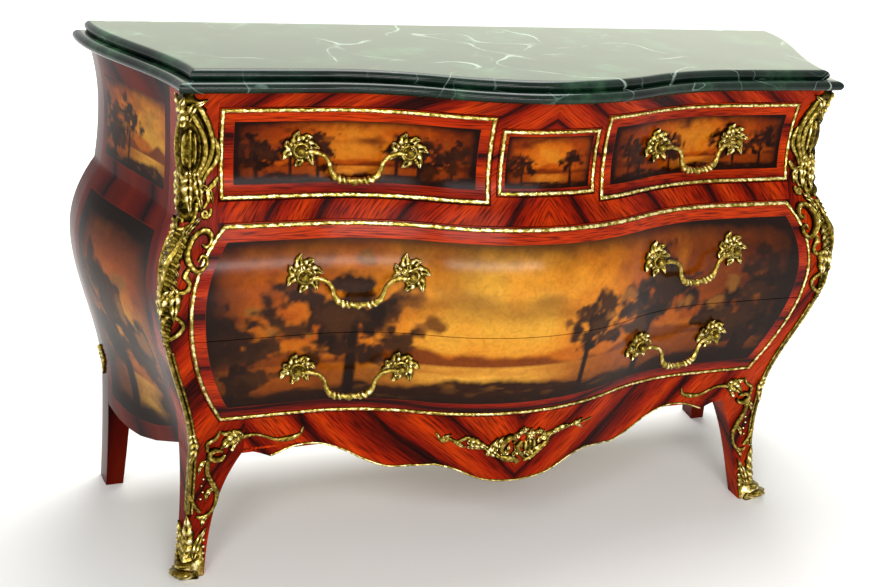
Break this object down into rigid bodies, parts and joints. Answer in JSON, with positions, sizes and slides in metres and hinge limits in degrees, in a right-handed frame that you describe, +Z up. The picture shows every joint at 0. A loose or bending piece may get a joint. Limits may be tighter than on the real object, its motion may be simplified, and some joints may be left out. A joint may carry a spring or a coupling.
{
  "type": "bombe chest",
  "caption": "Swelling serpentine bombe chest of drawers with a moulded dark green marble top, veneered case, painted lacquer fronts, gilt brass mounts and swinging bail handles.",
  "frame": {"origin": "on the floor under the middle of the chest's bounding box", "axes": "+X to the viewer's right, +Y to the back, the front faces -Y, +Z up"},
  "size_m": [1.44, 0.485, 0.88],
  "materials": {
    "green_marble": "polished",
    "kingwood_veneer": "gloss lacquer",
    "painted_lacquer": "gloss lacquer",
    "carcase_pine": "bare",
    "gilt_brass": "cast and gilt"
  },
  "bodies": {
    "case": {"marble_top": "green_marble", "top_board": "carcase_pine", "case_side_left": "kingwood_veneer", "case_side_right": "kingwood_veneer", "front_post_left": "kingwood_veneer", "front_post_right": "kingwood_veneer", "back_leg_left": "kingwood_veneer", "back_leg_right": "kingwood_veneer", "back_panel": "carcase_pine", "top_rail": "kingwood_veneer", "middle_rail": "kingwood_veneer", "centre_frame": "kingwood_veneer", "apron": "kingwood_veneer", "partitions": "carcase_pine", "dust_board": "carcase_pine", "drawer_runners": "carcase_pine", "bottom_board": "carcase_pine", "drawer_guides": "carcase_pine", "chutes": "gilt_brass", "corner_strips": "gilt_brass", "sabots": "gilt_brass", "apron_mount": "gilt_brass", "knee_mounts": "gilt_brass", "apron_bead": "gilt_brass", "rear_knee_mounts": "gilt_brass"},
    "right_drawer": {"right_drawer_front": "painted_lacquer", "right_drawer_brass_frame": "gilt_brass", "right_drawer_sides": "carcase_pine", "right_drawer_back": "carcase_pine", "right_drawer_bottom": "carcase_pine", "right_drawer_rosettes": "gilt_brass"},
    "left_drawer": {"left_drawer_front": "painted_lacquer", "left_drawer_brass_frame": "gilt_brass", "left_drawer_sides": "carcase_pine", "left_drawer_back": "carcase_pine", "left_drawer_bottom": "carcase_pine", "left_drawer_rosettes": "gilt_brass"},
    "small_drawer": {"small_drawer_front": "painted_lacquer", "small_drawer_brass_frame": "gilt_brass", "small_drawer_sides": "carcase_pine", "small_drawer_back": "carcase_pine", "small_drawer_bottom": "carcase_pine"},
    "upper_drawer": {"upper_drawer_front": "painted_lacquer", "upper_drawer_brass_frame": "gilt_brass", "upper_drawer_sides": "carcase_pine", "upper_drawer_back": "carcase_pine", "upper_drawer_bottom": "carcase_pine", "upper_drawer_rosettes": "gilt_brass"},
    "lower_drawer": {"lower_drawer_front": "painted_lacquer", "lower_drawer_brass_frame": "gilt_brass", "lower_drawer_sides": "carcase_pine", "lower_drawer_back": "carcase_pine", "lower_drawer_bottom": "carcase_pine", "lower_drawer_rosettes": "gilt_brass"},
    "right_drawer_handle": {"right_drawer_bail": "gilt_brass"},
    "left_drawer_handle": {"left_drawer_bail": "gilt_brass"},
    "upper_drawer_right_handle": {"upper_drawer_right_bail": "gilt_brass"},
    "upper_drawer_left_handle": {"upper_drawer_left_bail": "gilt_brass"},
    "lower_drawer_right_handle": {"lower_drawer_right_bail": "gilt_brass"},
    "lower_drawer_left_handle": {"lower_drawer_left_bail": "gilt_brass"}
  },
  "joints": [
    {"name": "right_drawer_slide", "type": "slide", "parent": "case", "child": "right_drawer", "axis": [0, -1, 0], "range_m": [0, 0.24]},
    {"name": "left_drawer_slide", "type": "slide", "parent": "case", "child": "left_drawer", "axis": [0, -1, 0], "range_m": [0, 0.24]},
    {"name": "small_drawer_slide", "type": "slide", "parent": "case", "child": "small_drawer", "axis": [0, -1, 0], "range_m": [0, 0.24]},
    {"name": "upper_drawer_slide", "type": "slide", "parent": "case", "child": "upper_drawer", "axis": [0, -1, 0], "range_m": [0, 0.27]},
    {"name": "lower_drawer_slide", "type": "slide", "parent": "case", "child": "lower_drawer", "axis": [0, -1, 0], "range_m": [0, 0.27]},
    {"name": "right_drawer_bail_swing", "type": "hinge", "parent": "right_drawer", "child": "right_drawer_handle", "pos_m": [0.23095, -0.14851, 0.752], "axis": [-0.9891, -0.1475, 0], "range_deg": [0, 90]},
    {"name": "left_drawer_bail_swing", "type": "hinge", "parent": "left_drawer", "child": "left_drawer_handle", "pos_m": [-0.40295, -0.12286, 0.752], "axis": [-0.9891, 0.1475, 0], "range_deg": [0, 90]},
    {"name": "upper_drawer_right_bail_swing", "type": "hinge", "parent": "upper_drawer", "child": "upper_drawer_right_handle", "pos_m": [0.23095, -0.2032, 0.56125], "axis": [-0.9891, -0.1475, 0], "range_deg": [0, 90]},
    {"name": "upper_drawer_left_bail_swing", "type": "hinge", "parent": "upper_drawer", "child": "upper_drawer_left_handle", "pos_m": [-0.40295, -0.17755, 0.56125], "axis": [-0.9891, 0.1475, 0], "range_deg": [0, 90]},
    {"name": "lower_drawer_right_bail_swing", "type": "hinge", "parent": "lower_drawer", "child": "lower_drawer_right_handle", "pos_m": [0.23095, -0.18766, 0.389], "axis": [-0.9891, -0.1475, 0], "range_deg": [0, 90]},
    {"name": "lower_drawer_left_bail_swing", "type": "hinge", "parent": "lower_drawer", "child": "lower_drawer_left_handle", "pos_m": [-0.40295, -0.16201, 0.389], "axis": [-0.9891, 0.1475, 0], "range_deg": [0, 90]}
  ]
}
